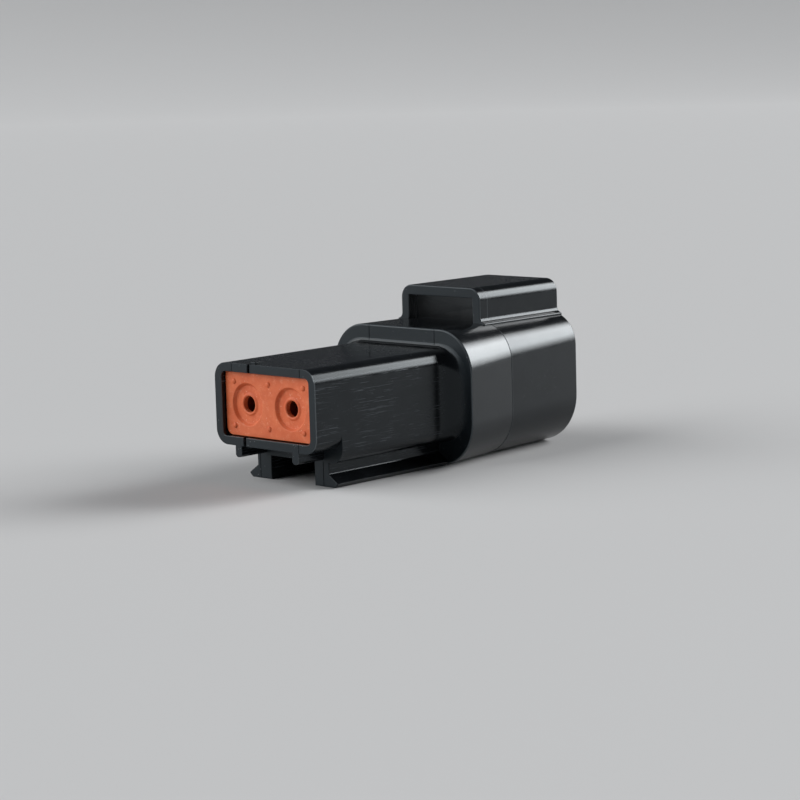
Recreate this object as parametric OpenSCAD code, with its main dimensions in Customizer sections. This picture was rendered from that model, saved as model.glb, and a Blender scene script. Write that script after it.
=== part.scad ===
// Two-way sealed receptacle, the half of a wire-to-wire connector that carries the pins.
// The part lies on its mounting rails: +Y points to the mating end, +Z is up, and the
// origin is under the middle of the part, on the surface that it stands on.

/* [Rear body] */
// Width of the rear body and of its collar
body_w = 16.3; // [15.6:0.1:17.2]
// Height of the rear body, from its underside to its top
body_h = 11.1; // [10.8:0.1:11.6]
// Length of the rear body, from the collar's step to the flange
body_len = 18.4; // [17.5:0.1:21]
// Corner radius of the rear body and of its collar
body_r = 1.8; // [1:0.1:2.4]
// Length of the shallower collar round the wire seal
collar_len = 4.1; // [3:0.1:6]
// How far the collar's underside lies above the body's underside
collar_rise = 1.6; // [1.3:0.05:1.9]
// Wall of the collar round the wire seal
collar_wall = 1; // [0.8:0.05:1.2]
// Width of the gate notches in the collar's rim
notch_w = 0.5; // [0.3:0.05:0.8]
// Depth of the gate notches, measured from the rear face
notch_depth = 0.8; // [0.4:0.1:1.5]
// Distance of the upper notch from the middle of the rim
notch_top_x = 2.5; // [2:0.1:4]
// Distance of the lower notch from the middle of the rim
notch_bottom_x = 3.5; // [2:0.1:4]

/* [Rails and ribs] */
// Height of the mounting rails under the body
rail_h = 2.8; // [2.6:0.1:3.2]
// Clear gap between the two rails
rail_gap = 7.1; // [6.5:0.1:7.6]
// Thickness of each rail's web
web_t = 2.3; // [1.8:0.1:2.6]
// How far each rail's lip reaches past its web
lip_reach = 1.45; // [1:0.05:1.6]
// Height of the lip's outer edge above the ground
lip_edge = 0.5; // [0.3:0.05:0.8]
// Height of the slope on top of the lip
lip_slope = 1; // [0.8:0.05:1.5]
// Thickness of the two ribs under the collar
rib_t = 1; // [0.8:0.05:1.2]
// Distance between the middles of the two ribs
rib_pitch = 9.3; // [8.6:0.1:9.8]
// Height of the ribs below the collar
rib_h = 1.35; // [1.1:0.05:1.5]
// Chamfer on the ribs' lower edges
rib_chamfer = 0.25; // [0.1:0.05:0.4]

/* [Shroud] */
// Length of the shroud, from the flange to the mating end
shroud_len = 21.5; // [20:0.1:24]
// Height of the shroud
shroud_h = 16.1; // [15.8:0.1:17]
// Width of the shroud at the flange
flange_w = 22.5; // [21.5:0.1:23.5]
// Distance of the mould's parting line from the flange
parting_y = 8.5; // [7:0.1:10]
// Width of the shroud at the parting line
parting_w = 20.2; // [19.6:0.1:20.8]
// Width of the shroud at its mating end
mouth_w = 18.6; // [18:0.1:19.4]
// Upper corner radius of the shroud at the flange
flange_top_r = 5; // [4:0.1:5.4]
// Lower corner radius of the shroud at the flange
flange_bottom_r = 5.4; // [4.6:0.1:5.8]
// Upper corner radius of the shroud at its mating end
mouth_top_r = 3.8; // [3.2:0.1:4.6]
// Lower corner radius of the shroud at its mating end
mouth_bottom_r = 6.2; // [5:0.1:6.4]
// Wall of the shroud at its mating end
shroud_wall = 1.4; // [1.2:0.1:1.6]
// Depth of the mating cavity
cavity_depth = 18.5; // [17.5:0.1:19]
// Radius of the large fillets between the body's sides and the flange
side_fillet = 2.6; // [1.6:0.1:2.8]
// Radius of the small fillet between the body's top and the flange
top_fillet = 0.6; // [0.3:0.05:1]

/* [Latch keeper] */
// Outside width of the latch keeper
keeper_w = 12.8; // [12:0.1:13.4]
// Height of the keeper above the shroud
keeper_h = 4.15; // [3.8:0.05:4.8]
// Length of the keeper, back from the mating end
keeper_len = 14.4; // [12:0.1:15]
// Thickness of the keeper's roof and legs
keeper_wall = 1.2; // [1:0.05:1.4]
// Outer corner radius of the keeper's roof
keeper_r = 1.6; // [1.2:0.05:1.8]
// Fillet at the foot of the keeper's legs
keeper_fillet = 0.7; // [0.4:0.05:0.9]

/* [Wire seal] */
// Length of the wire seal
seal_len = 7.95; // [7:0.05:9]
// How far the seal's rear face lies inside the rim
seal_recess = 0.65; // [0.4:0.05:1]
// Corner radius of the seal and of its pocket
seal_r = 0.6; // [0.4:0.05:1]
// Gap between the seal's lips and the pocket wall
seal_gap = 0.04; // [0.03:0.01:0.08]
// Number of sealing lips round the seal
lips = 3; // [2:1:4]
// Width of each sealing lip
lip_w = 1.3; // [1:0.1:1.5]
// Depth of the valleys between the sealing lips
lip_depth = 0.45; // [0.3:0.05:0.6]
// Diameter of the wire holes
wire_hole_d = 1.9; // [1.6:0.1:2.2]
// Diameter of the round dish in front of each wire hole
dish_d = 5; // [4.4:0.1:5.4]
// Depth of the dishes
dish_depth = 0.35; // [0.2:0.05:0.5]
// Height of the raised ring round each wire hole
ring_h = 0.15; // [0.1:0.05:0.2]
// Width of the raised ring
ring_w = 0.35; // [0.25:0.05:0.5]
// Radius of the six round pips on the seal's face
pip_r = 0.32; // [0.2:0.02:0.4]
// Distance between the columns of pips
pip_pitch = 5.65; // [5:0.05:6.2]
// Distance of each row of pips from the middle of the seal
pip_rise = 2.55; // [2.3:0.05:2.8]

/* [Contacts] */
// Distance between the two contacts
contact_pitch = 7; // [6.8:0.1:7.2]
// Diameter of the mating pins
pin_d = 1.575; // [1.5:0.025:1.65]
// How far the pin tips lie inside the mating end
tip_inset = 8; // [7:0.1:9]
// Taper length at the pin tips
tip_taper = 0.5; // [0.3:0.1:0.8]
// Distance of the crimp barrels from the wire seal
barrel_inset = 1.4; // [1:0.1:1.8]
// Diameter of the crimp barrels
barrel_d = 3; // [2.95:0.05:3.1]
// Bore of the crimp barrels
crimp_d = 1.9; // [1.7:0.05:2.1]
// Depth of the crimp bore
crimp_depth = 4.4; // [4:0.1:4.8]
// Length of the crimp barrels
barrel_len = 5.6; // [5.4:0.1:6]
// Diameter of the inspection hole in each barrel
inspection_d = 0.7; // [0.5:0.05:0.8]
// Diameter of the neck that the retention finger drops into
neck_d = 2.2; // [2.1:0.05:2.3]
// Diameter of the collar in front of the neck
collar_d = 2.7; // [2.6:0.05:2.7]
// Length of the contact's collar
collar_t = 1.2; // [1:0.1:1.4]
// Diameter of the shank that passes through the wedge lock
shank_d = 2.2; // [2.1:0.05:2.3]
// Radial clearance round the barrel and the collar
contact_gap = 0.08; // [0.05:0.01:0.1]
// Length of the step that stops the barrel at the front of its bore
stop_t = 0.9; // [0.7:0.1:1.2]

/* [Wedge lock] */
// Width of the pocket that the wedge lock plugs into
pocket_w = 13; // [12.6:0.1:13.2]
// Height of the pocket
pocket_h = 6.8; // [6.6:0.1:6.9]
// Length of the retention fingers
finger_len = 4.6; // [4.2:0.1:4.8]
// Thickness of the retention fingers
finger_t = 0.9; // [0.8:0.05:0.95]
// Width of the retention fingers and of the wedge's blades
finger_w = 2; // [1.6:0.1:2.2]
// Length of the tooth at each finger's tip
tooth_t = 0.9; // [0.7:0.1:1]
// Play between the tooth and the contact's collar
tooth_gap = 0.1; // [0.05:0.05:0.2]
// Clearance all round the wedge lock
wedge_gap = 0.15; // [0.1:0.01:0.18]
// Gap between the ends of the wedge's blades and the bottom of the pocket
blade_gap = 1; // [0.5:0.1:1.5]
// Length of the wedge's block inside the pocket
block_len = 2.6; // [2.2:0.1:2.8]
// Thickness of the wedge's front plate
plate_t = 1.5; // [1.2:0.1:2]
// How far the front plate reaches past the pocket
plate_lap = 0.7; // [0.5:0.1:0.8]
// Diameter of the holes in the wedge lock that the shanks pass through
pin_hole_d = 2.6; // [2.5:0.05:2.8]
// Countersink round each pin hole, on the radius
pin_lead = 0.5; // [0.3:0.1:0.7]
// Width of the pull-out slot between the pins
slot_w = 1.8; // [1.4:0.1:2.2]
// Height of the pull-out slot
slot_h = 3; // [2.4:0.1:3.4]

/* [Hidden] */
$fn = 64;
HULL_FN = 48;      // facets on the circles inside a hull
E = 0.02;          // overlap of a cut or a joined form with its neighbour
EMBED = 0.6;       // how deep a joined form reaches into its neighbour

// Stations along Y
total_len = collar_len + body_len + shroud_len;
rear_y = -total_len / 2;
step_y = rear_y + collar_len;
flange_y = step_y + body_len;
front_y = total_len / 2;
floor_y = front_y - cavity_depth;
seal_y0 = rear_y + seal_recess;
seal_y1 = seal_y0 + seal_len;
barrel_y0 = seal_y1 + barrel_inset;
barrel_y1 = barrel_y0 + barrel_len;
bulkhead_y = barrel_y1 + stop_t;
finger_y = bulkhead_y + finger_len;
neck_y1 = finger_y + tooth_gap;
block_y = floor_y - block_len;
plate_y = floor_y + plate_t;
tip_y = front_y - tip_inset;
keeper_y = front_y - keeper_len;

// Levels along Z
body_z0 = rail_h;
body_z1 = body_z0 + body_h;
collar_z0 = body_z0 + collar_rise;
collar_h = body_z1 - collar_z0;
axis_z = collar_z0 + collar_h / 2;
keeper_z = shroud_h + keeper_h;
pocket_z0 = axis_z - pocket_h / 2;
pocket_z1 = axis_z + pocket_h / 2;
finger_z = axis_z + collar_d / 2 + contact_gap;
blade_z = finger_z + finger_t + wedge_gap;

// Widths of what fits together
seal_w = body_w - 2 * collar_wall;
rail_in = rail_gap / 2;
rail_out = rail_in + web_t;
cavity_w = mouth_w - 2 * shroud_wall;
cavity_z0 = shroud_wall;
cavity_z1 = shroud_h - shroud_wall;
sides = [-1, 1];

// Extrudes an X-Z outline from y0 to y1.
module along_y(y0, y1) {
    translate([0, y1, 0]) rotate([90, 0, 0]) linear_extrude(y1 - y0) children();
}

// A solid of revolution about a line along +Y, from a profile of [radius, station].
module turned(x, z) {
    translate([x, 0, z]) rotate([-90, 0, 0]) mirror([0, 1, 0]) rotate_extrude() children();
}

// A straight round along +Y.
module round_y(x, z, y0, y1, d) {
    translate([x, y0, z]) rotate([-90, 0, 0]) cylinder(d = d, h = y1 - y0);
}

// Rounded outline, symmetric about X = 0, with its own upper and lower corner radii.
module outline(w, z0, z1, r_top, r_bottom, fn = $fn) {
    top_x = w / 2 - r_top;
    bottom_x = w / 2 - r_bottom;
    for (s = sides) {
        translate([s * top_x, z1 - r_top]) circle(r = r_top, $fn = fn);
        translate([s * bottom_x, z0 + r_bottom]) circle(r = r_bottom, $fn = fn);
    }
    translate([-top_x, (z0 + z1) / 2]) square([2 * top_x, (z1 - z0) / 2]);
    translate([-bottom_x, z0]) square([2 * bottom_x, (z1 - z0) / 2]);
    translate([-w / 2, z0 + r_bottom]) square([w, z1 - z0 - r_top - r_bottom]);
}

// Thin slice of the shroud's outline at one station, for the hulls.
module shroud_slice(y, w, r_top, r_bottom) {
    along_y(y - E / 2, y + E / 2) hull() outline(w, 0, shroud_h, r_top, r_bottom, HULL_FN);
}

// Outside of the shroud: the rear half of the mould draws in quickly, the front half slowly.
module shroud_skin() {
    t = parting_y / shroud_len;
    parting_top_r = flange_top_r + (mouth_top_r - flange_top_r) * t;
    parting_bottom_r = flange_bottom_r + (mouth_bottom_r - flange_bottom_r) * t;
    hull() {
        shroud_slice(flange_y + E / 2, flange_w, flange_top_r, flange_bottom_r);
        shroud_slice(flange_y + parting_y, parting_w, parting_top_r, parting_bottom_r);
    }
    hull() {
        shroud_slice(flange_y + parting_y, parting_w, parting_top_r, parting_bottom_r);
        shroud_slice(front_y - E / 2, mouth_w, mouth_top_r, mouth_bottom_r);
    }
}

// Rear body with the shallower collar behind its step.
module rear_body() {
    along_y(rear_y, step_y + EMBED) outline(body_w, collar_z0, body_z1, body_r, body_r);
    along_y(step_y, flange_y + EMBED) outline(body_w, body_z0, body_z1, body_r, body_r);
}

// Large hollow fillets that carry the body's sides into the flange.
module side_fillets() {
    reach = body_w / 2 + side_fillet;
    intersection() {
        translate([0, 0, body_z0]) linear_extrude(body_h) for (s = sides) difference() {
            translate([s > 0 ? body_w / 2 - EMBED : -reach, flange_y - side_fillet])
                square([side_fillet + EMBED, side_fillet + EMBED]);
            translate([s * reach, flange_y - side_fillet]) circle(r = side_fillet - E);
        }
        along_y(flange_y - side_fillet - E, flange_y + EMBED)
            outline(2 * reach, body_z0 + E, body_z1 - E, body_r + side_fillet, body_r + side_fillet);
    }
}

// Small fillet between the body's top and the flange.
module top_fillet_strip() {
    half = body_w / 2 - body_r;
    translate([-half, 0, 0]) rotate([90, 0, 90]) linear_extrude(2 * half) difference() {
        translate([flange_y - top_fillet, body_z1 - EMBED]) square([top_fillet + EMBED, top_fillet + EMBED]);
        translate([flange_y - top_fillet, body_z1 + top_fillet]) circle(r = top_fillet - E);
    }
}

// Mounting rails: a web with an outward lip that a clip slides onto.
module rails() {
    tip = rail_out + lip_reach;
    for (s = sides) along_y(step_y, flange_y + EMBED) scale([s, 1]) polygon([
        [rail_in, 0],
        [tip - lip_edge, 0],
        [tip, lip_edge],
        [rail_out, lip_edge + lip_slope],
        [rail_out, body_z0 + EMBED],
        [rail_in, body_z0 + EMBED],
    ]);
}

// Ribs under the collar.
module ribs() {
    half = rib_t / 2;
    z0 = collar_z0 - rib_h;
    for (s = sides) along_y(rear_y, step_y + EMBED) translate([s * rib_pitch / 2, 0]) polygon([
        [-half + rib_chamfer, z0],
        [half - rib_chamfer, z0],
        [half, z0 + rib_chamfer],
        [half, collar_z0 + EMBED],
        [-half, collar_z0 + EMBED],
        [-half, z0 + rib_chamfer],
    ]);
}

// Latch keeper: an open bridge on the shroud, with filleted feet.
module keeper() {
    inner_w = keeper_w - 2 * keeper_wall;
    along_y(keeper_y, front_y) difference() {
        union() {
            translate([-keeper_w / 2, cavity_z1 + E]) square([keeper_w, keeper_z - keeper_r - cavity_z1 - E]);
            translate([-keeper_w / 2 + keeper_r, keeper_z - 2 * keeper_r])
                square([keeper_w - 2 * keeper_r, 2 * keeper_r]);
            for (s = sides) translate([s * (keeper_w / 2 - keeper_r), keeper_z - keeper_r])
                circle(r = keeper_r);
        }
        translate([-inner_w / 2, cavity_z1]) square([inner_w, keeper_z - keeper_wall - cavity_z1]);
    }
    for (s = sides) along_y(keeper_y, front_y) difference() {
        translate([s > 0 ? keeper_w / 2 - keeper_wall / 2 : -keeper_w / 2 - keeper_fillet, shroud_h - EMBED])
            square([keeper_wall / 2 + keeper_fillet, EMBED + keeper_fillet]);
        translate([s * (keeper_w / 2 + keeper_fillet), shroud_h + keeper_fillet])
            circle(r = keeper_fillet - E);
    }
}

// Two cantilever fingers; each tooth drops into a contact's neck, behind its collar.
module fingers() {
    for (s = sides) translate([s * contact_pitch / 2 - finger_w / 2, 0, 0]) {
        translate([0, bulkhead_y - EMBED, finger_z]) cube([finger_w, finger_len + EMBED, finger_t]);
        translate([0, finger_y - tooth_t, axis_z + neck_d / 2 + contact_gap])
            cube([finger_w, tooth_t, finger_z - axis_z - neck_d / 2]);
    }
}

// Bores that carry the barrels and stop them at their front.
module contact_bores() {
    for (s = sides) {
        round_y(s * contact_pitch / 2, axis_z, seal_y1 - E, barrel_y1, barrel_d + 2 * contact_gap);
        round_y(s * contact_pitch / 2, axis_z, barrel_y1 - E, bulkhead_y + E, collar_d + 2 * contact_gap);
    }
}

// Narrow notches in the rim, above and below the seal.
module notches() {
    for (place = [[notch_top_x, body_z1 - collar_wall / 2], [notch_bottom_x, collar_z0 + collar_wall / 2]])
        translate([-place[0], rear_y + notch_depth / 2, place[1]])
            cube([notch_w, notch_depth + E, collar_wall + E], center = true);
}

module housing() {
    color([0.07, 0.07, 0.075]) {
        difference() {
            union() {
                rear_body();
                shroud_skin();
                side_fillets();
                top_fillet_strip();
                rails();
                ribs();
                keeper();
            }
            along_y(rear_y - E, seal_y1) outline(seal_w, collar_z0 + collar_wall,
                body_z1 - collar_wall, seal_r, seal_r);
            along_y(bulkhead_y, floor_y + E) outline(pocket_w, pocket_z0, pocket_z1, seal_r, seal_r);
            along_y(floor_y, front_y + E) outline(cavity_w, cavity_z0, cavity_z1,
                mouth_top_r - shroud_wall, mouth_bottom_r - shroud_wall);
            contact_bores();
            notches();
        }
        fingers();
    }
}

// Outline of the seal, smaller all round by inset.
module seal_outline(inset) {
    outline(seal_w - 2 * inset, collar_z0 + collar_wall + inset, body_z1 - collar_wall - inset,
        seal_r, seal_r);
}

module wire_seal() {
    lip_step = (seal_len - lip_w) / (lips - 1);
    ring_y = seal_y0 + dish_depth;
    color([0.86, 0.33, 0.17]) difference() {
        union() {
            difference() {
                union() {
                    along_y(seal_y0, seal_y1) seal_outline(lip_depth);
                    for (i = [0:lips - 1]) along_y(seal_y0 + i * lip_step, seal_y0 + i * lip_step + lip_w)
                        seal_outline(seal_gap);
                }
                for (s = sides) turned(s * contact_pitch / 2, axis_z) polygon([
                    [0, seal_y0 - E],
                    [dish_d / 2, seal_y0 - E],
                    [dish_d / 2 - dish_depth, ring_y],
                    [0, ring_y],
                ]);
            }
            for (s = sides) round_y(s * contact_pitch / 2, axis_z, ring_y - ring_h, ring_y + E,
                wire_hole_d + 2 * ring_w);
            for (x = [-1, 0, 1], s = sides)
                translate([x * pip_pitch, seal_y0 + pip_r / 2, axis_z + s * pip_rise]) sphere(r = pip_r);
        }
        for (s = sides) round_y(s * contact_pitch / 2, axis_z, seal_y0 - E, seal_y1 + E, wire_hole_d);
    }
}

module wedge_lock() {
    block_w = pocket_w - 2 * wedge_gap;
    plate_w = pocket_w + 2 * plate_lap;
    blade_y = bulkhead_y + blade_gap;
    color([0.9, 0.42, 0.14]) difference() {
        union() {
            along_y(block_y, floor_y + E)
                outline(block_w, pocket_z0 + wedge_gap, pocket_z1 - wedge_gap, seal_r, seal_r);
            along_y(floor_y, plate_y)
                outline(plate_w, pocket_z0 - plate_lap, pocket_z1 + plate_lap, 2 * seal_r, 2 * seal_r);
            for (s = sides) translate([s * contact_pitch / 2 - finger_w / 2, blade_y, 0]) {
                translate([0, 0, blade_z])
                    cube([finger_w, block_y - blade_y + E, pocket_z1 - wedge_gap - blade_z]);
                translate([0, 0, pocket_z0 + wedge_gap])
                    cube([finger_w, block_y - blade_y + E, pocket_z1 - wedge_gap - blade_z]);
            }
        }
        for (s = sides) {
            round_y(s * contact_pitch / 2, axis_z, block_y - E, plate_y + E, pin_hole_d);
            turned(s * contact_pitch / 2, axis_z) polygon([
                [0, plate_y - pin_lead],
                [pin_hole_d / 2, plate_y - pin_lead],
                [pin_hole_d / 2 + pin_lead, plate_y + E],
                [0, plate_y + E],
            ]);
        }
        translate([-slot_w / 2, block_y - E, axis_z - slot_h / 2])
            cube([slot_w, block_len + plate_t + 2 * E, slot_h]);
    }
}

// One machined contact: crimp barrel, neck, collar, shank and mating pin.
module pin_contact(x) {
    color([0.78, 0.76, 0.7]) difference() {
        turned(x, axis_z) polygon([
            [0, barrel_y0],
            [barrel_d / 2, barrel_y0],
            [barrel_d / 2, barrel_y1],
            [neck_d / 2, barrel_y1],
            [neck_d / 2, neck_y1],
            [collar_d / 2, neck_y1],
            [collar_d / 2, neck_y1 + collar_t],
            [shank_d / 2, neck_y1 + collar_t],
            [shank_d / 2, plate_y],
            [pin_d / 2, plate_y],
            [pin_d / 2, tip_y - tip_taper],
            [pin_d / 4, tip_y],
            [0, tip_y],
        ]);
        round_y(x, axis_z, barrel_y0 - E, barrel_y0 + crimp_depth, crimp_d);
        translate([x, barrel_y0 + crimp_depth - inspection_d, axis_z])
            cylinder(d = inspection_d, h = barrel_d);
    }
}

module pin_contact_left() {
    pin_contact(-contact_pitch / 2);
}

module pin_contact_right() {
    pin_contact(contact_pitch / 2);
}

housing();
wire_seal();
wedge_lock();
pin_contact_left();
pin_contact_right();
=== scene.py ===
from math import cos, pi, radians, sin, sqrt, tan

import bmesh
import bpy
from mathutils import Matrix, Vector


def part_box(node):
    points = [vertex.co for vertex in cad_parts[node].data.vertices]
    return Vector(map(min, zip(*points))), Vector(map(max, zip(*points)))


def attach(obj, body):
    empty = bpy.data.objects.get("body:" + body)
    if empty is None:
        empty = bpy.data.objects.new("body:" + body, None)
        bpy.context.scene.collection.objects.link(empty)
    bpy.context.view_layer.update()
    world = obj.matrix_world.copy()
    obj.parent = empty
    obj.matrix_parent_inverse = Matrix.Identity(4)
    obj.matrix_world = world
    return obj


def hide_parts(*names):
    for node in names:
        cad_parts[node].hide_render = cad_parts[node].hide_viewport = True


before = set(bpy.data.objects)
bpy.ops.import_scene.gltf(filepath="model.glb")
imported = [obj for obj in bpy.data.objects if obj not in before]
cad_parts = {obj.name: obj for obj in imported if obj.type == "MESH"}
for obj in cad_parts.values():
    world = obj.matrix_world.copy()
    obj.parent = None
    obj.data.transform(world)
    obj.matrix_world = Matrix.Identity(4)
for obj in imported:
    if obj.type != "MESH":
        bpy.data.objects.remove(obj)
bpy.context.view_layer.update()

MM = 0.001
SIDES = (-1, 1)

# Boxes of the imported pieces, in millimetres
HOUSING_LOW, HOUSING_HIGH = [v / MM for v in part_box("housing")]
SEAL_LOW, SEAL_HIGH = [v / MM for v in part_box("wire_seal")]
WEDGE_LOW, WEDGE_HIGH = [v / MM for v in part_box("wedge_lock")]
LEFT_LOW, LEFT_HIGH = [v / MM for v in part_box("pin_contact_left")]
RIGHT_LOW, RIGHT_HIGH = [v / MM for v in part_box("pin_contact_right")]

# Lengths along Y, in millimetres like the part's other sizes
COLLAR_LEN = 4.1
BODY_LEN = 18.4
PARTING_LEN = 8.5
KEEPER_LEN = 14.4
CAVITY_DEPTH = 18.5
BARREL_LEN = 5.6
STOP_T = 0.9

# Stations along Y
REAR_Y = HOUSING_LOW.y
FRONT_Y = HOUSING_HIGH.y
STEP_Y = REAR_Y + COLLAR_LEN
FLANGE_Y = STEP_Y + BODY_LEN
PARTING_Y = FLANGE_Y + PARTING_LEN
KEEPER_Y = FRONT_Y - KEEPER_LEN
FLOOR_Y = FRONT_Y - CAVITY_DEPTH
POCKET_END_Y = SEAL_HIGH.y
STOP_Y = LEFT_LOW.y + BARREL_LEN
BULKHEAD_Y = STOP_Y + STOP_T

# Rear body
BODY_W = 16.3
BODY_Z0 = 2.8
BODY_Z1 = 13.9
BODY_R = 1.8
COLLAR_Z0 = 4.4
COLLAR_WALL = 1.0
SIDE_FILLET = 2.6
TOP_FILLET = 0.6
AXIS_Z = (COLLAR_Z0 + BODY_Z1) / 2

# Shroud: width, upper and lower corner radius at the flange, the parting line and the mouth
SHROUD_H = 16.1
FLANGE = (HOUSING_HIGH.x - HOUSING_LOW.x, 5.0, 5.4)
PARTING = (20.2, 4.53, 5.72)
MOUTH = (18.6, 3.8, 6.2)
SHROUD_WALL = 1.4

# Latch keeper
KEEPER_W = 12.8
KEEPER_Z = HOUSING_HIGH.z
KEEPER_WALL = 1.2
KEEPER_R = 1.6
KEEPER_FILLET = 0.7

# Rails and ribs
RAIL_IN = 3.55
RAIL_OUT = 5.85
RAIL_TIP = 7.3
RAIL_EDGE = 0.5
RAIL_SLOPE = 1.5
RIB_X = 4.65
RIB_T = 1.0
RIB_Z0 = COLLAR_Z0 - 1.35
RIB_CHAMFER = 0.25

# Contacts
CONTACT_X = 3.5
BARREL_R = 1.5
COLLAR_R = 1.35
COLLAR_T = 1.2
SHANK_R = 1.1
PIN_R = 0.7875
TIP_TAPER = 0.5
TIP_INSET = 0.394
CRIMP_R = 0.95
CRIMP_DEPTH = 4.4
INSPECTION_R = 0.35

# What holds the contacts
GAP = 0.08
POCKET_W = 13.0
POCKET_H = 6.8
POCKET_R = 0.6
FINGER_W = 2.0
FINGER_T = 0.9
FINGER_LEN = 4.6
TOOTH_T = 0.9
TOOTH_GAP = 0.1

# Wedge lock
WEDGE_GAP = 0.15
BLADE_H = 0.77
BLOCK_LEN = 2.6
PLATE_R = 1.2
PIN_HOLE_R = 1.3
PIN_LEAD = 0.5
SLOT_W = 1.8
SLOT_H = 3.0

# Seal
SEAL_POCKET_R = 0.6
SEAL_FACE_Y = REAR_Y + 0.65
DISH_R = 2.45
DISH_DEPTH = 0.40
RING_R = 1.3
WIRE_R = 0.95
HOLE_RING_T = 0.6
HOLE_SPACE_R = 1.75


# ---------------------------------------------------------------- meshes

def new_piece(name, bm):
    """Makes an object from a bmesh in millimetres, with its faces turned outwards."""
    bmesh.ops.remove_doubles(bm, verts=bm.verts, dist=1e-5)
    bmesh.ops.dissolve_degenerate(bm, edges=bm.edges, dist=1e-5)
    bmesh.ops.recalc_face_normals(bm, faces=bm.faces)
    mesh = bpy.data.meshes.new(name)
    bm.to_mesh(mesh)
    bm.free()
    obj = bpy.data.objects.new(name, mesh)
    bpy.context.scene.collection.objects.link(obj)
    return obj


def arc(cx, cz, r, start, end, steps):
    """Points on an arc, angles in degrees from +X towards +Z, both ends included."""
    angles = [radians(start + (end - start) * i / steps) for i in range(steps + 1)]
    return [(cx + r * cos(a), cz + r * sin(a)) for a in angles]


def box_outline(w, z0, z1, r_top, r_bottom, steps=12):
    """Rounded outline in the X-Z plane, symmetric about X = 0."""
    top_x = w / 2 - r_top
    bottom_x = w / 2 - r_bottom
    return (arc(bottom_x, z0 + r_bottom, r_bottom, -90, 0, steps)
            + arc(top_x, z1 - r_top, r_top, 0, 90, steps)
            + arc(-top_x, z1 - r_top, r_top, 90, 180, steps)
            + arc(-bottom_x, z0 + r_bottom, r_bottom, 180, 270, steps))


def loft(name, sections):
    """Closed skin through outlines of equal length, each given as (station, outline)."""
    bm = bmesh.new()
    rings = [[bm.verts.new((x, y, z)) for x, z in outline] for y, outline in sections]
    count = len(rings[0])
    for near, far in zip(rings, rings[1:]):
        for i in range(count):
            j = (i + 1) % count
            bm.faces.new((near[i], near[j], far[j], far[i]))
    bm.faces.new(rings[0])
    bm.faces.new(rings[-1])
    return new_piece(name, bm)


def prism(name, outline, y0, y1):
    return loft(name, [(y0, outline), (y1, outline)])


def block(name, low, high):
    outline = [(low[0], low[2]), (high[0], low[2]), (high[0], high[2]), (low[0], high[2])]
    return prism(name, outline, low[1], high[1])


def lathe(name, x, z, profile, segments=64):
    """Turns a profile of (radius, station) points about a line along +Y."""
    bm = bmesh.new()
    rings = []
    for r, y in profile:
        angles = [2 * pi * i / segments for i in range(segments)]
        rings.append([bm.verts.new((x + r * cos(a), y, z + r * sin(a))) for a in angles])
    for near, far in zip(rings, rings[1:]):
        for i in range(segments):
            j = (i + 1) % segments
            bm.faces.new((near[i], near[j], far[j], far[i]))
    if profile[0][0] > 0:
        bm.faces.new(rings[0])
    if profile[-1][0] > 0:
        bm.faces.new(rings[-1])
    return new_piece(name, bm)


def settle(obj):
    """Applies all modifiers and gives the object a plain mesh."""
    evaluated = obj.evaluated_get(bpy.context.evaluated_depsgraph_get())
    mesh = bpy.data.meshes.new_from_object(evaluated)
    obj.modifiers.clear()
    obj.data = mesh
    return obj


def soften(obj, width, segments=3, angle=35):
    """Rounds the sharp edges of a simple solid."""
    bevel = obj.modifiers.new("edges", "BEVEL")
    bevel.width = width
    bevel.segments = segments
    bevel.limit_method = "ANGLE"
    bevel.angle_limit = radians(angle)
    bevel.use_clamp_overlap = True
    return settle(obj)


def combine(obj, others, operation):
    """Joins other solids to obj, or cuts them out of it, and removes them."""
    for other in others:
        boolean = obj.modifiers.new(operation.lower(), "BOOLEAN")
        boolean.operation = operation
        boolean.solver = "EXACT"
        boolean.object = other
        settle(obj)
        bpy.data.objects.remove(other)
    return obj


def smooth(obj, angle=32):
    """Smooth shading with crisp edges, and normals weighted by face area."""
    obj.data.shade_smooth()
    obj.data.set_sharp_from_angle(angle=radians(angle))
    weighted = obj.modifiers.new("normals", "WEIGHTED_NORMAL")
    weighted.keep_sharp = True
    weighted.weight = 80
    return settle(obj)


def finish_piece(obj, body, slot, material, *nodes):
    """Brings a piece from millimetres to metres and puts it on its body."""
    obj.data.transform(Matrix.Scale(MM, 4))
    obj.data.materials.clear()
    obj.data.materials.append(material)
    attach(obj, body)
    if nodes:
        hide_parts(*nodes)
    return obj


# ---------------------------------------------------------------- materials

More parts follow.
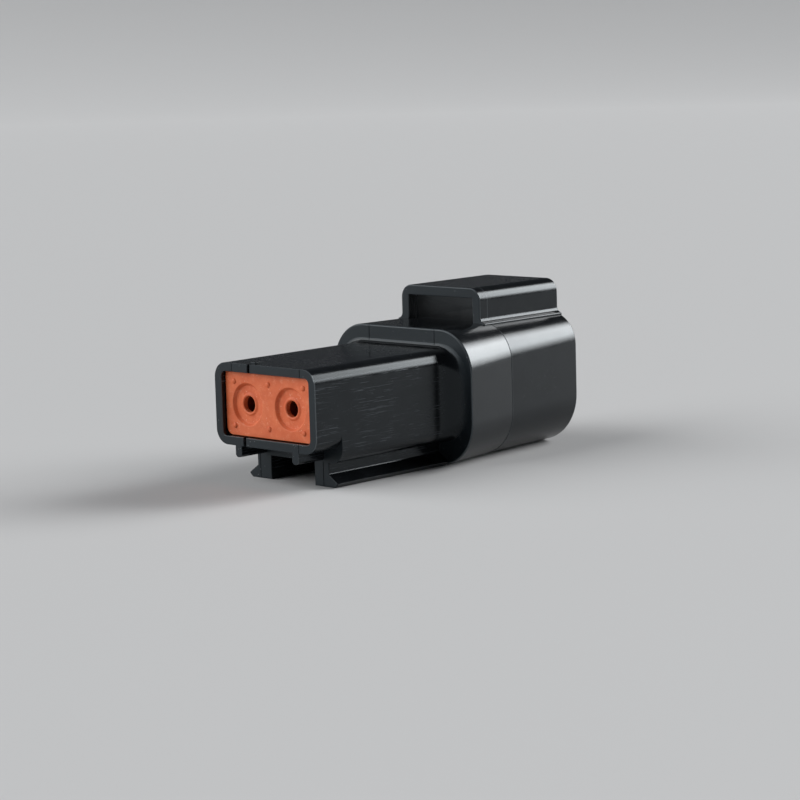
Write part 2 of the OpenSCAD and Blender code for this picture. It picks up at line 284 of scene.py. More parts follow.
class Nodes:
    """Short calls for building a material's node tree."""

    def __init__(self, name):
        self.material = bpy.data.materials.new(name)
        self.material.use_nodes = True
        self.tree = self.material.node_tree
        self.shader = self.tree.nodes["Principled BSDF"]
        self.place = self.tree.nodes.new("ShaderNodeTexCoord").outputs["Object"]

    def link(self, source, socket):
        self.tree.links.new(source, socket)

    def scaled(self, scale):
        node = self.tree.nodes.new("ShaderNodeMapping")
        node.inputs["Scale"].default_value = scale
        self.link(self.place, node.inputs["Vector"])
        return node.outputs["Vector"]

    def noise(self, scale, detail=2, rough=0.5, vector=None):
        node = self.tree.nodes.new("ShaderNodeTexNoise")
        node.inputs["Scale"].default_value = scale
        node.inputs["Detail"].default_value = detail
        node.inputs["Roughness"].default_value = rough
        self.link(vector or self.place, node.inputs["Vector"])
        return node.outputs["Fac"]

    def cells(self, scale, vector=None):
        node = self.tree.nodes.new("ShaderNodeTexVoronoi")
        node.inputs["Scale"].default_value = scale
        self.link(vector or self.place, node.inputs["Vector"])
        return node.outputs["Distance"]

    def ramp(self, value, low, high, out_low=0.0, out_high=1.0):
        node = self.tree.nodes.new("ShaderNodeMapRange")
        node.interpolation_type = "SMOOTHSTEP"
        node.inputs["From Min"].default_value = low
        node.inputs["From Max"].default_value = high
        node.inputs["To Min"].default_value = out_low
        node.inputs["To Max"].default_value = out_high
        self.link(value, node.inputs["Value"])
        return node.outputs["Result"]

    def band(self, value, start, width, level):
        """Level over a band of a coordinate and zero outside it; start and width in millimetres."""
        edge = 0.03
        rise = self.ramp(value, (start - edge) * MM, start * MM)
        fall = self.ramp(value, (start + width) * MM, (start + width + edge) * MM, level, 0.0)
        return self.math("MULTIPLY", rise, fall)

    def math(self, operation, a, b):
        node = self.tree.nodes.new("ShaderNodeMath")
        node.operation = operation
        for socket, value in zip(node.inputs, (a, b)):
            if isinstance(value, (int, float)):
                socket.default_value = value
            else:
                self.link(value, socket)
        return node.outputs["Value"]

    def mix(self, factor, a, b):
        node = self.tree.nodes.new("ShaderNodeMix")
        node.data_type = "RGBA"
        for socket, value in ((node.inputs[0], factor), (node.inputs[6], a), (node.inputs[7], b)):
            if isinstance(value, (int, float)):
                socket.default_value = value
            elif isinstance(value, tuple):
                socket.default_value = (*value, 1)
            else:
                self.link(value, socket)
        return node.outputs[2]

    def axis(self, vector, letter):
        node = self.tree.nodes.new("ShaderNodeSeparateXYZ")
        self.link(vector, node.inputs["Vector"])
        return node.outputs[letter]

    def facing(self):
        """Direction that the surface faces, in the piece's own axes."""
        return self.tree.nodes.new("ShaderNodeTexCoord").outputs["Normal"]

    def bump(self, height, distance, strength=1.0, after=None):
        node = self.tree.nodes.new("ShaderNodeBump")
        node.inputs["Distance"].default_value = distance
        node.inputs["Strength"].default_value = strength
        self.link(height, node.inputs["Height"])
        if after is not None:
            self.link(after, node.inputs["Normal"])
        return node.outputs["Normal"]


def moulded_black():
    """Black moulded plastic: gloss with drawn scratches, a scuffed top, rougher end faces and painted
    highlights along some edges.
    """
    n = Nodes("moulded_black")
    pebble = n.noise(7000, 2, 0.6)
    cloud = n.noise(500, 3, 0.5)
    along = n.axis(n.place, "Y")
    ends = n.ramp(n.math("ABSOLUTE", n.axis(n.facing(), "Y"), 0.0), 0.85, 0.98)
    upward = n.ramp(n.axis(n.facing(), "Z"), 0.80, 0.97)
    sideways = n.ramp(n.math("ABSOLUTE", n.axis(n.facing(), "X"), 0.0), 0.86, 0.97)
    on_body = n.ramp(along, -0.002, 0.001, 1.0, 0.15)
    fine = n.ramp(n.noise(1, 2, 0.55, n.scaled((9500, 330, 9500))), 0.60, 0.70)
    long = n.ramp(n.noise(1, 2, 0.55, n.scaled((6000, 120, 6000))), 0.62, 0.70)
    patches = n.ramp(n.noise(260, 2, 0.5), 0.30, 0.60)
    scratch = n.math("MULTIPLY", n.math("MAXIMUM", fine, long), patches)
    scratch = n.math("MULTIPLY", n.math("MULTIPLY", scratch, sideways), on_body)
    scuff = n.ramp(n.noise(1900, 5, 0.75), 0.50, 0.66)
    scuff = n.math("MULTIPLY", scuff, n.ramp(n.noise(230, 2, 0.5), 0.46, 0.60))
    scuff = n.math("MULTIPLY", n.math("MULTIPLY", scuff, upward), on_body)
    specks = n.ramp(n.cells(2300), 0.08, 0.14, 1.0, 0.0)
    specks = n.math("MULTIPLY", specks, n.ramp(n.noise(380, 2, 0.5), 0.53, 0.62))
    specks = n.math("MULTIPLY", specks, n.ramp(ends, 0.0, 1.0, 0.12, 0.7))
    base = n.mix(n.ramp(cloud, 0.35, 0.7), (0.0042, 0.0050, 0.0060), (0.0060, 0.0070, 0.0084))
    base = n.mix(n.math("MULTIPLY", ends, 0.7), base, (0.012, 0.017, 0.021))
    base = n.mix(n.math("MULTIPLY", scratch, 0.6), base, (0.060, 0.068, 0.078))
    base = n.mix(n.math("MULTIPLY", scuff, 0.5), base, (0.045, 0.050, 0.056))
    base = n.mix(specks, base, (0.30, 0.32, 0.34))
    above = n.ramp(n.axis(n.place, "Z"), (SHROUD_H + 0.1) * MM, (SHROUD_H + 0.2) * MM)
    # Painted highlights: lighter bands along the rear edges of the rim, the flange and the keeper stand in
    # for light glinting on those rounded edges. The band at the parting line is partly the witness line's
    # own lighter flash and partly painted highlight.
    painted_highlight_and_flash = n.band(along, PARTING_Y - 0.04, 0.08, 0.35)
    for y in (REAR_Y, FLANGE_Y):
        painted_highlight_and_flash = n.math("ADD", painted_highlight_and_flash, n.band(along, y, 0.15, 0.6))
    painted_highlight_and_flash = n.math("ADD", painted_highlight_and_flash, n.math("MULTIPLY", n.band(along, KEEPER_Y, 0.15, 0.6), above))
    painted_highlight_and_flash = n.math("MULTIPLY", painted_highlight_and_flash, n.math("SUBTRACT", 1.0, ends))
    base = n.mix(painted_highlight_and_flash, base, (0.10, 0.115, 0.125))
    n.link(base, n.shader.inputs["Base Color"])
    rough = n.ramp(cloud, 0.3, 0.75, 0.19, 0.22)
    rough = n.math("ADD", rough, n.math("MULTIPLY", ends, 0.17))
    rough = n.math("ADD", rough, n.math("MULTIPLY", scratch, 0.15))
    rough = n.math("ADD", rough, n.math("MULTIPLY", scuff, 0.20))
    rough = n.math("ADD", rough, n.math("MULTIPLY", specks, 0.4))
    n.link(rough, n.shader.inputs["Roughness"])
    n.shader.inputs["IOR"].default_value = 1.45
    n.shader.inputs["Specular IOR Level"].default_value = 0.36
    n.shader.inputs["Specular Tint"].default_value = (0.84, 0.94, 1.0, 1)
    relief = n.bump(pebble, 0.000002, 0.6)
    relief = n.bump(scratch, 0.000003, 0.6, relief)
    n.link(relief, n.shader.inputs["Normal"])
    return n.material


def orange_silicone():
    """Matt orange silicone: soft mottling, pale bloom, specks of dust and painted shade deep in the wire
    holes.
    """
    n = Nodes("orange_silicone")
    mottle = n.noise(420, 4, 0.6)
    bloom = n.ramp(n.noise(1500, 5, 0.75), 0.50, 0.70)
    grain = n.noise(6500, 3, 0.7)
    specks = n.ramp(n.cells(3000), 0.12, 0.22, 1.0, 0.0)
    specks = n.math("MULTIPLY", specks, n.ramp(n.noise(900, 2, 0.5), 0.50, 0.62))
    # Painted shade: the silicone more than 0.85 mm in from the seal's rear face is darkened to stand in for
    # the shade deep inside the wire holes.
    painted_bore_shade = n.ramp(n.axis(n.place, "Y"), (SEAL_FACE_Y + 0.85) * MM, (SEAL_FACE_Y + 1.6) * MM)
    base = n.mix(n.ramp(mottle, 0.3, 0.7), (0.63, 0.118, 0.036), (0.73, 0.165, 0.058))
    base = n.mix(n.math("MULTIPLY", bloom, 0.35), base, (0.86, 0.33, 0.18))
    base = n.mix(n.math("MULTIPLY", specks, 0.6), base, (0.92, 0.60, 0.45))
    base = n.mix(n.math("MULTIPLY", painted_bore_shade, 0.75), base, (0.10, 0.022, 0.010))
    n.link(base, n.shader.inputs["Base Color"])
    n.link(n.ramp(grain, 0.2, 0.8, 0.48, 0.64), n.shader.inputs["Roughness"])
    n.shader.inputs["IOR"].default_value = 1.43
    relief = n.bump(grain, 0.000010, 0.8)
    relief = n.bump(mottle, 0.00002, 0.5, relief)
    n.link(relief, n.shader.inputs["Normal"])
    return n.material


def orange_plastic():
    """Orange moulded plastic of the wedge lock."""
    n = Nodes("orange_plastic")
    mottle = n.noise(500, 3, 0.6)
    pebble = n.noise(7000, 2, 0.6)
    base = n.mix(n.ramp(mottle, 0.3, 0.7), (0.72, 0.19, 0.035), (0.80, 0.235, 0.05))
    n.link(base, n.shader.inputs["Base Color"])
    n.link(n.ramp(mottle, 0.3, 0.75, 0.34, 0.46), n.shader.inputs["Roughness"])
    n.link(n.bump(pebble, 0.000005, 0.7), n.shader.inputs["Normal"])
    return n.material


def nickel_plate():
    """Bright nickel plating over turned metal, with fine turning marks."""
    n = Nodes("nickel_plate")
    marks = n.noise(1, 2, 0.5, n.scaled((300, 14000, 300)))
    tone = n.noise(600, 3, 0.6)
    base = n.mix(n.ramp(tone, 0.3, 0.7), (0.60, 0.58, 0.53), (0.70, 0.675, 0.62))
    n.link(base, n.shader.inputs["Base Color"])
    n.shader.inputs["Metallic"].default_value = 1.0
    n.link(n.ramp(marks, 0.3, 0.7, 0.20, 0.34), n.shader.inputs["Roughness"])
    n.link(n.bump(marks, 0.000003, 0.6), n.shader.inputs["Normal"])
    return n.material


# ---------------------------------------------------------------- housing

def rear_body():
    """Collar, step, body and the hollow flare that carries its sides into the flange."""
    sections = [(REAR_Y, box_outline(BODY_W, COLLAR_Z0, BODY_Z1, BODY_R, BODY_R)),
                (STEP_Y, box_outline(BODY_W, COLLAR_Z0, BODY_Z1, BODY_R, BODY_R)),
                (STEP_Y, box_outline(BODY_W, BODY_Z0, BODY_Z1, BODY_R, BODY_R))]
    steps = 12
    for i in range(steps + 1):
        turn = radians(88) * i / steps
        along = SIDE_FILLET * sin(turn)
        out = SIDE_FILLET * (1 - cos(turn))
        left = max(0.0, along - (SIDE_FILLET - TOP_FILLET))
        up = TOP_FILLET - sqrt(max(0.0, TOP_FILLET ** 2 - left ** 2))
        outline = box_outline(BODY_W + 2 * out, BODY_Z0, BODY_Z1 + up, BODY_R + out, BODY_R + out)
        sections.append((FLANGE_Y - SIDE_FILLET + along, outline))
    sections.append((FLANGE_Y + 0.8, sections[-1][1]))
    return soften(loft("rear_body", sections), 0.16, 3, 50)


def shroud():
    """Outside of the shroud, with a fine witness line where the mould's halves meet."""
    def outline(values, grow=0.0):
        width, r_top, r_bottom = values
        return box_outline(width + 2 * grow, -grow, SHROUD_H + grow, r_top + grow, r_bottom + grow, 16)

    near, far = 0.07, 0.02
    sections = [(FLANGE_Y, outline(FLANGE)),
                (PARTING_Y - near, outline(PARTING)),
                (PARTING_Y - far, outline(PARTING, 0.03)),
                (PARTING_Y + far, outline(PARTING, 0.03)),
                (PARTING_Y + near, outline(PARTING)),
                (FRONT_Y, outline(MOUTH))]
    return soften(loft("shroud", sections), 0.22, 4, 50)


def keeper():
    """Latch keeper: an open bridge with rounded shoulders and filleted feet."""
    half = KEEPER_W / 2
    inner = half - KEEPER_WALL
    foot = SHROUD_H - 0.5
    right = [(inner, foot), (half + KEEPER_FILLET, foot), (half + KEEPER_FILLET, SHROUD_H)]
    right += arc(half + KEEPER_FILLET, SHROUD_H + KEEPER_FILLET, KEEPER_FILLET, 270, 180, 8)[1:]
    right += arc(half - KEEPER_R, KEEPER_Z - KEEPER_R, KEEPER_R, 0, 90, 12)
    left = [(-x, z) for x, z in reversed(right)]
    roof = [(-inner, KEEPER_Z - KEEPER_WALL), (inner, KEEPER_Z - KEEPER_WALL)]
    return soften(prism("keeper", right + left + roof, KEEPER_Y, FRONT_Y), 0.16, 3, 60)


def rail(side):
    outline = [(RAIL_IN, 0), (RAIL_TIP - RAIL_EDGE, 0), (RAIL_TIP, RAIL_EDGE), (RAIL_OUT, RAIL_SLOPE),
               (RAIL_OUT, BODY_Z0 + 0.5), (RAIL_IN, BODY_Z0 + 0.5)]
    outline = [(side * x, z) for x, z in outline]
    return soften(prism("rail", outline, STEP_Y, FLANGE_Y + 0.5), 0.09)


def rib(side):
    half = RIB_T / 2
    outline = [(-half + RIB_CHAMFER, RIB_Z0), (half - RIB_CHAMFER, RIB_Z0), (half, RIB_Z0 + RIB_CHAMFER),
               (half, COLLAR_Z0 + 0.5), (-half, COLLAR_Z0 + 0.5), (-half, RIB_Z0 + RIB_CHAMFER)]
    outline = [(side * RIB_X + x, z) for x, z in outline]
    return soften(prism("rib", outline, REAR_Y + 0.05, STEP_Y + 0.5), 0.07)


def seal_pocket():
    """Pocket of the wire seal, with a small lead-in at the rim."""
    w = BODY_W - 2 * COLLAR_WALL
    z0 = COLLAR_Z0 + COLLAR_WALL
    z1 = BODY_Z1 - COLLAR_WALL
    lead = 0.08
    r = SEAL_POCKET_R
    wide = box_outline(w + 2 * lead, z0 - lead, z1 + lead, r + lead, r + lead, 6)
    plain = box_outline(w, z0, z1, r, r, 6)
    return loft("seal_pocket", [(REAR_Y - 1, wide), (REAR_Y, wide), (REAR_Y + lead, plain),
                                (POCKET_END_Y, plain)])


def mating_cavity():
    """Inside of the shroud, with a lead-in at the mouth."""
    w = MOUTH[0] - 2 * SHROUD_WALL
    r_top = MOUTH[1] - SHROUD_WALL
    r_bottom = MOUTH[2] - SHROUD_WALL
    lead = 0.15

    def outline(grow):
        return box_outline(w + 2 * grow, SHROUD_WALL - grow, SHROUD_H - SHROUD_WALL + grow,
                           r_top + grow, r_bottom + grow, 12)

    return loft("mating_cavity", [(FLOOR_Y, outline(0)), (FRONT_Y - lead, outline(0)),
                                  (FRONT_Y, outline(lead)), (FRONT_Y + 1, outline(lead))])


def wedge_pocket():
    outline = box_outline(POCKET_W, AXIS_Z - POCKET_H / 2, AXIS_Z + POCKET_H / 2, POCKET_R, POCKET_R, 6)
    return prism("wedge_pocket", outline, BULKHEAD_Y, FLOOR_Y + 0.5)


def contact_bore(side):
    wide = BARREL_R + GAP
    narrow = COLLAR_R + GAP
    return lathe("contact_bore", side * CONTACT_X, AXIS_Z,
                 [(wide, POCKET_END_Y - 0.5), (wide, STOP_Y), (narrow, STOP_Y), (narrow, BULKHEAD_Y + 0.5)])


def notch(x, z):
    """Gate notch through the rim, narrower than it is deep."""
    half = 0.25
    return block("notch", (x - half, REAR_Y - 0.5, z - 0.55), (x + half, REAR_Y + 0.8, z + 0.55))


def mould_lines():
    """Hairline grooves where inserts of the mould met, on every face that looks back."""
    half = 0.05
    deep = 0.07
    marks = [(-5.25, REAR_Y, 12.8, 14.0), (5.87, REAR_Y, 12.8, 14.0), (5.32, REAR_Y, 4.3, 5.45),
             (-5.35, STEP_Y, -0.1, 2.9), (5.0, STEP_Y, -0.1, 2.9),
             (-5.15, FLANGE_Y, 13.95, 16.2), (5.5, FLANGE_Y, 13.95, 16.2)]
    return [block("mould_line", (x - half, y - deep, z0), (x + half, y + deep, z1))
            for x, y, z0, z1 in marks]


def finger(side):
    x = side * CONTACT_X
    z = AXIS_Z + COLLAR_R + GAP
    bar = block("finger", (x - FINGER_W / 2, BULKHEAD_Y - 0.5, z),
                (x + FINGER_W / 2, BULKHEAD_Y + FINGER_LEN, z + FINGER_T))
    tooth = block("tooth", (x - FINGER_W / 2, BULKHEAD_Y + FINGER_LEN - TOOTH_T, AXIS_Z + SHANK_R + GAP),
                  (x + FINGER_W / 2, BULKHEAD_Y + FINGER_LEN, z + 0.2))
    return combine(bar, [tooth], "UNION")


def gate_nib():
    """Trimmed gate behind the notch on top of the rim."""
    low = (-2.95, REAR_Y + 0.8, BODY_Z1 - 0.3)
    high = (-2.1, REAR_Y + 1.6, BODY_Z1 + 0.2)
    return soften(block("gate_nib", low, high), 0.08)


def housing(material):
    obj = rear_body()
    obj.name = "housing_shell"
    combine(obj, [shroud(), keeper(), gate_nib()], "UNION")
    combine(obj, [rail(s) for s in SIDES] + [rib(s) for s in SIDES], "UNION")
    cuts = [seal_pocket(), mating_cavity(), wedge_pocket()]
    cuts += [contact_bore(s) for s in SIDES]
    cuts += [notch(-2.5, BODY_Z1 - COLLAR_WALL / 2), notch(-3.5, COLLAR_Z0 + COLLAR_WALL / 2)]
    cuts += mould_lines()
    combine(obj, cuts, "DIFFERENCE")
    combine(obj, [finger(s) for s in SIDES], "UNION")
    smooth(obj)
    return finish_piece(obj, "connector", "housing_plastic", material, "housing")


# ---------------------------------------------------------------- wire seal

def seal_outline(inset):
    """Outline of the seal; the corner below the left hole is rounder than the others."""
    w = SEAL_HIGH.x - SEAL_LOW.x - 2 * inset
    z0 = SEAL_LOW.z + inset
    z1 = SEAL_HIGH.z - inset
    radii = (0.3, 0.3, 0.3, 0.95)
    corners = ((1, z0, -90), (1, z1, 0), (-1, z1, 90), (-1, z0, 180))
    points = []
    for r, (side, z, start) in zip(radii, corners):
        cz = z + r if z == z0 else z - r
        points += arc(side * (w / 2 - r), cz, r, start, start + 90, 8)
    return points


def seal_core():
    """Seal with three lips round it and a softened rear face."""
    lip_w = 1.3
    depth = 0.45
    edge = 0.12
    sections = [(SEAL_FACE_Y, seal_outline(edge)), (SEAL_FACE_Y + edge / 3, seal_outline(edge / 3)),
                (SEAL_FACE_Y + edge, seal_outline(0))]
    step = (SEAL_HIGH.y - SEAL_FACE_Y - lip_w) / 2
    for i in range(2):
        start = SEAL_FACE_Y + i * step
        sections += [(start + lip_w - 0.1, seal_outline(0)), (start + lip_w + 0.25, seal_outline(depth)),
                     (start + step - 0.25, seal_outline(depth)), (start + step + 0.1, seal_outline(0))]
    sections.append((SEAL_HIGH.y, seal_outline(0)))
    return loft("wire_seal_core", sections)


def dish(side):
    """Round dish with a rolled edge, a rounded root and a raised ring round the wire hole."""
    face = SEAL_FACE_Y
    floor = face + DISH_DEPTH
    profile = [(0, face - 0.5), (DISH_R + 0.10, face - 0.5), (DISH_R + 0.10, face),
               (DISH_R + 0.03, face + 0.02), (DISH_R - 0.02, face + 0.07), (DISH_R - 0.20, floor - 0.07),
               (DISH_R - 0.25, floor - 0.02), (DISH_R - 0.32, floor)]
    profile += [(RING_R + 0.10, floor), (RING_R + 0.02, floor - 0.03), (RING_R - 0.08, floor - 0.12),
                (RING_R - 0.20, floor - 0.15), (WIRE_R + 0.06, floor - 0.12), (WIRE_R, floor - 0.05)]
    rings = (floor, (floor + SEAL_HIGH.y) / 2, SEAL_HIGH.y - HOLE_RING_T)
    for near, far in zip(rings, rings[1:]):
        near += HOLE_RING_T
        profile += [(WIRE_R, near - 0.1), (WIRE_R + 0.1, near), (HOLE_SPACE_R, near + 0.4),
                    (HOLE_SPACE_R, far - 0.5), (WIRE_R + 0.1, far - 0.1), (WIRE_R, far)]
    profile += [(WIRE_R, SEAL_HIGH.y + 0.5), (0, SEAL_HIGH.y + 0.5)]
    return lathe("dish", side * CONTACT_X, AXIS_Z, profile)


def wire_seal(material):
    obj = seal_core()
    obj.name = "wire_seal_rubber"
    combine(obj, [dish(s) for s in SIDES], "DIFFERENCE")
    smooth(obj, 40)
    return finish_piece(obj, "connector", "seal_silicone", material, "wire_seal")


def pip_tree(material):
    """Geometry nodes: a grid of low round pips that stand on the seal's rear face."""
    tree = bpy.data.node_groups.new("seal_pips", "GeometryNodeTree")
    sockets = (("Across", 11.3 * MM), ("Up", 5.1 * MM), ("Face", SEAL_FACE_Y * MM),
               ("Middle", AXIS_Z * MM), ("Radius", 0.33 * MM))
    identifiers = {}
    for name, value in sockets:
        item = tree.interface.new_socket(name, in_out="INPUT", socket_type="NodeSocketFloat")
        item.default_value = value
        identifiers[name] = item.identifier
    tree.interface.new_socket("Geometry", in_out="OUTPUT", socket_type="NodeSocketGeometry")
    new = tree.nodes.new
    link = tree.links.new
    group_in = new("NodeGroupInput")
    group_out = new("NodeGroupOutput")
    grid = new("GeometryNodeMeshGrid")
    grid.inputs["Vertices X"].default_value = 3
    grid.inputs["Vertices Y"].default_value = 2
    link(group_in.outputs["Across"], grid.inputs["Size X"])
    link(group_in.outputs["Up"], grid.inputs["Size Y"])
    place = new("ShaderNodeCombineXYZ")
    link(group_in.outputs["Face"], place.inputs["Y"])
    link(group_in.outputs["Middle"], place.inputs["Z"])
    stand = new("GeometryNodeTransform")
    stand.inputs["Rotation"].default_value = (pi / 2, 0, 0)
    link(grid.outputs["Mesh"], stand.inputs["Geometry"])
    link(place.outputs["Vector"], stand.inputs["Translation"])
    dome = new("GeometryNodeMeshUVSphere")
    dome.inputs["Segments"].default_value = 24
    dome.inputs["Rings"].default_value = 12
    link(group_in.outputs["Radius"], dome.inputs["Radius"])
    shaded = new("GeometryNodeSetShadeSmooth")
    link(dome.outputs["Mesh"], shaded.inputs["Geometry"])
    scatter = new("GeometryNodeInstanceOnPoints")
    scatter.inputs["Scale"].default_value = (1, 0.55, 1)
    link(stand.outputs["Geometry"], scatter.inputs["Points"])
    link(shaded.outputs["Geometry"], scatter.inputs["Instance"])
    real = new("GeometryNodeRealizeInstances")
    link(scatter.outputs["Instances"], real.inputs["Geometry"])
    paint = new("GeometryNodeSetMaterial")
    paint.inputs["Material"].default_value = material
    link(real.outputs["Geometry"], paint.inputs["Geometry"])
    link(paint.outputs["Geometry"], group_out.inputs["Geometry"])
    return tree, identifiers, dict(sockets)


def seal_pips(material):
    tree, identifiers, values = pip_tree(material)
    obj = bpy.data.objects.new("wire_seal_pips", bpy.data.meshes.new("wire_seal_pips"))
    bpy.context.scene.collection.objects.link(obj)
    modifier = obj.modifiers.new("pips", "NODES")
    modifier.node_group = tree
    for name, identifier in identifiers.items():
        modifier[identifier] = values[name]
    settle(obj)
    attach(obj, "connector")
    return obj


# ---------------------------------------------------------------- wedge lock

def wedge_lock(material):
    """Block in the pocket, front plate over it, and a pair of blades beside each finger."""
    block_y0 = FLOOR_Y - BLOCK_LEN
    z0 = AXIS_Z - POCKET_H / 2 + WEDGE_GAP
    z1 = AXIS_Z + POCKET_H / 2 - WEDGE_GAP
    outline = box_outline(POCKET_W - 2 * WEDGE_GAP, z0, z1, POCKET_R, POCKET_R, 6)
    body = soften(prism("wedge_lock_body", outline, block_y0, FLOOR_Y + 0.3), 0.10)
    outline = box_outline(WEDGE_HIGH.x - WEDGE_LOW.x, WEDGE_LOW.z, WEDGE_HIGH.z, PLATE_R, PLATE_R, 10)
    parts = [soften(prism("plate", outline, FLOOR_Y, WEDGE_HIGH.y), 0.18)]
    for s in SIDES:
        x = s * CONTACT_X
        for low in (z0, z1 - BLADE_H):
            bar = block("blade", (x - FINGER_W / 2, WEDGE_LOW.y, low),
                        (x + FINGER_W / 2, block_y0 + 0.3, low + BLADE_H))
            parts.append(soften(bar, 0.08))
    combine(body, parts, "UNION")
    profile = [(PIN_HOLE_R, block_y0 - 0.5), (PIN_HOLE_R, WEDGE_HIGH.y - PIN_LEAD),
               (PIN_HOLE_R + PIN_LEAD, WEDGE_HIGH.y), (PIN_HOLE_R + PIN_LEAD, WEDGE_HIGH.y + 0.5)]
    cuts = [lathe("pin_hole", s * CONTACT_X, AXIS_Z, profile) for s in SIDES]
    cuts.append(block("slot", (-SLOT_W / 2, block_y0 - 0.5, AXIS_Z - SLOT_H / 2),
                      (SLOT_W / 2, WEDGE_HIGH.y + 0.5, AXIS_Z + SLOT_H / 2)))
    combine(body, cuts, "DIFFERENCE")
    smooth(body)
    return finish_piece(body, "wedge", "wedge_plastic", material, "wedge_lock")


# ---------------------------------------------------------------- contacts

def inspection_hole(x, y):
    """Upright cutter through the top wall of a crimp barrel."""
    segments = 24
    bm = bmesh.new()
    rings = []
    for z in (AXIS_Z, AXIS_Z + 2):
        outline = arc(x, y, INSPECTION_R, 0, 360 * (segments - 1) / segments, segments - 1)
        rings.append([bm.verts.new((px, py, z)) for px, py in outline])
    for i in range(segments):
        j = (i + 1) % segments
        bm.faces.new((rings[0][i], rings[0][j], rings[1][j], rings[1][i]))
    bm.faces.new(rings[0])
    bm.faces.new(rings[1])
    return new_piece("inspection_hole", bm)


def contact(name, node, low, high, material):
    """Machined contact: crimp barrel, neck, collar, shank and mating pin."""
    x = (low.x + high.x) / 2
    y0 = low.y
    collar_y = BULKHEAD_Y + FINGER_LEN + TOOTH_GAP
    collar_end = collar_y + COLLAR_T
    edge = 0.08
    profile = [(BARREL_R - edge, y0), (BARREL_R, y0 + edge), (BARREL_R, STOP_Y - edge),
               (BARREL_R - edge, STOP_Y), (SHANK_R, STOP_Y), (SHANK_R, collar_y),
               (COLLAR_R - edge, collar_y), (COLLAR_R, collar_y + edge), (COLLAR_R, collar_end - edge),
               (COLLAR_R - edge, collar_end), (SHANK_R, collar_end), (SHANK_R, WEDGE_HIGH.y - edge),
               (SHANK_R - edge, WEDGE_HIGH.y), (PIN_R, WEDGE_HIGH.y), (PIN_R, high.y - TIP_TAPER)]
    turns = 6
    for i in range(1, turns + 1):
        a = radians(90) * i / turns
        profile.append((PIN_R - TIP_INSET * (1 - cos(a)), high.y - TIP_TAPER * (1 - sin(a))))
    obj = lathe(name, x, AXIS_Z, profile, 48)
    bore = lathe("crimp_bore", x, AXIS_Z, [(CRIMP_R, y0 - 0.5), (CRIMP_R, y0 + CRIMP_DEPTH)], 48)
    combine(obj, [bore, inspection_hole(x, y0 + CRIMP_DEPTH - 2 * INSPECTION_R)], "DIFFERENCE")
    smooth(obj)
    return finish_piece(obj, "connector", "contact_plating", material, node)


# ---------------------------------------------------------------- stage, light and camera

def floor():
    """Round pale floor, sized in metres, whose far edge curves up into a low backdrop."""
    flat, curve = 1.5, 0.5
    rise = 37
    steps = 12
    profile = [(flat, 0.0)]
    profile += [(flat + curve * sin(radians(rise * i / steps)), curve * (1 - cos(radians(rise * i / steps))))
                for i in range(1, steps + 1)]
    segments = 96
    bm = bmesh.new()
    centre = bm.verts.new((0, 0, 0))
    rings = []
    for r, z in profile:
        angles = [2 * pi * i / segments for i in range(segments)]
        rings.append([bm.verts.new((r * cos(a), r * sin(a), z)) for a in angles])
    for i in range(segments):
        bm.faces.new((centre, rings[0][i], rings[0][(i + 1) % segments]))
    for near, far in zip(rings, rings[1:]):
        for i in range(segments):
            j = (i + 1) % segments
            bm.faces.new((near[i], far[i], far[j], near[j]))
    mesh = bpy.data.meshes.new("floor")
    bm.to_mesh(mesh)
    bm.free()
    mesh.shade_smooth()
    obj = bpy.data.objects.new("floor", mesh)
    bpy.context.scene.collection.objects.link(obj)
    material = bpy.data.materials.new("pale_floor")
    material.use_nodes = True
    shader = material.node_tree.nodes["Principled BSDF"]
    shader.inputs["Base Color"].default_value = (0.60, 0.605, 0.61, 1)
    shader.inputs["Roughness"].default_value = 0.7
    obj.data.materials.append(material)


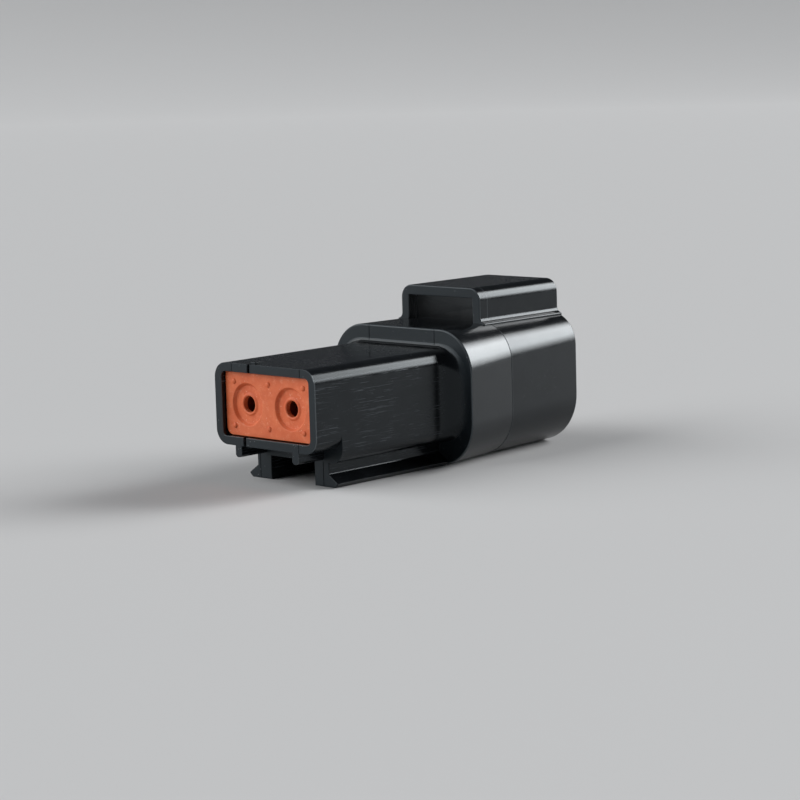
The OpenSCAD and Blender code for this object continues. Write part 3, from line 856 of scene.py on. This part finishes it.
def softbox(name, direction, distance, length, width, radiance, along=(1, 0, 0)):
    """Far area light at a distance in metres; length and width are the angles it fills, in degrees."""
    z = Vector(direction).normalized()
    x = Vector(along)
    x = (x - z * x.dot(z)).normalized()
    y = z.cross(x)
    data = bpy.data.lights.new(name, "AREA")
    data.shape = "RECTANGLE"
    data.size = 2 * distance * tan(radians(length / 2))
    data.size_y = 2 * distance * tan(radians(width / 2))
    data.energy = radiance * pi * data.size * data.size_y
    obj = bpy.data.objects.new(name, data)
    obj.matrix_world = Matrix.Translation(z * distance) @ Matrix((x, y, z)).transposed().to_4x4()
    bpy.context.scene.collection.objects.link(obj)


def studio():
    world = bpy.data.worlds.new("studio")
    world.use_nodes = True
    background = world.node_tree.nodes["Background"]
    background.inputs["Color"].default_value = (0.82, 0.90, 1.0, 1)
    background.inputs["Strength"].default_value = 0.05
    bpy.context.scene.world = world
    for name, distance, length, width in (("back_wide", 22, 40, 30), ("back_middle", 21, 31, 24),
                                          ("back_core", 20, 22, 18)):
        softbox(name, (0.351, 0.853, 0.387), distance, length, width, 5.4, (0.774, 0.026, -0.633))
    softbox("front_left", (-0.58, -0.64, 0.50), 20, 62, 50, 3.2)


def camera():
    azimuth = radians(43.8)
    elevation = radians(8.1)
    roll = radians(-1.68)
    distance = 295.5 * MM
    target = Vector((2.05, -2.0, 7.735)) * MM
    back = Vector((sin(azimuth) * cos(elevation), -cos(azimuth) * cos(elevation), sin(elevation)))
    right = Vector((cos(azimuth), sin(azimuth), 0))
    up = back.cross(right)
    tilted_right = cos(roll) * right + sin(roll) * up
    tilted_up = cos(roll) * up - sin(roll) * right
    data = bpy.data.cameras.new("camera")
    data.sensor_width = 36
    data.lens = 112.6
    data.clip_start = 0.01
    obj = bpy.data.objects.new("camera", data)
    turn = Matrix((tilted_right, tilted_up, back)).transposed().to_4x4()
    obj.matrix_world = Matrix.Translation(target + back * distance) @ turn
    bpy.context.scene.collection.objects.link(obj)
    bpy.context.scene.camera = obj


# ---------------------------------------------------------------- the part

camera()
studio()
floor()
bpy.context.scene.view_settings.view_transform = "Standard"

black = moulded_black()
silicone = orange_silicone()
plating = nickel_plate()
housing(black)
wire_seal(silicone)
seal_pips(silicone)
wedge_lock(orange_plastic())
contact("contact_left", "pin_contact_left", LEFT_LOW, LEFT_HIGH, plating)
contact("contact_right", "pin_contact_right", RIGHT_LOW, RIGHT_HIGH, plating)
